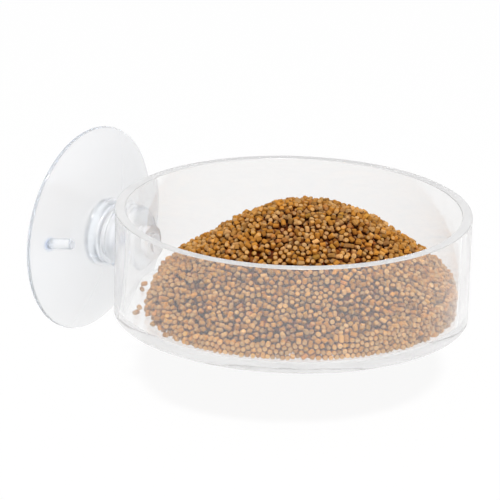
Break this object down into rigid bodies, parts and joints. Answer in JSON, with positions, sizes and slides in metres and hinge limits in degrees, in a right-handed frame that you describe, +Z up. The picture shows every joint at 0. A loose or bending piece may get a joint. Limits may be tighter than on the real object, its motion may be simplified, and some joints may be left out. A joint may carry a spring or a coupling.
{
  "type": "shrimp feeding dish",
  "caption": "Clear round feeding dish with a flat base, held to aquarium glass by a soft suction cup that swivels on a ribbed stud, with a lift-out heap of food pellets.",
  "frame": {"origin": "centre of the dish's flat underside", "axes": "+Z up along the dish's axis, +Y along the suction cup's axis from the dish towards the glass, +X to the right seen from the dish's front"},
  "size_m": [0.07, 0.0845, 0.042],
  "materials": {
    "acrylic": "clear cast acrylic, polished, with a faint white haze",
    "vinyl": "clear soft vinyl, glossy, faintly blue where it is thick",
    "pellets": "dry pressed pellets, golden brown, matt and slightly rough"
  },
  "bodies": {
    "dish": {"dish_wall": "acrylic", "dish_base": "acrylic", "cup_stud": "acrylic"},
    "cup": {"suction_cup": "vinyl"},
    "food": {"food_heap": "pellets"}
  },
  "joints": [
    {"name": "cup_swivel", "type": "hinge", "parent": "dish", "child": "cup", "pos_m": [0, 0.0416, 0.0071], "axis": [0, 1, 0], "continuous": true},
    {"name": "food_lift", "type": "slide", "parent": "dish", "child": "food", "axis": [0, 0, 1], "range_m": [0, 0.03]}
  ]
}
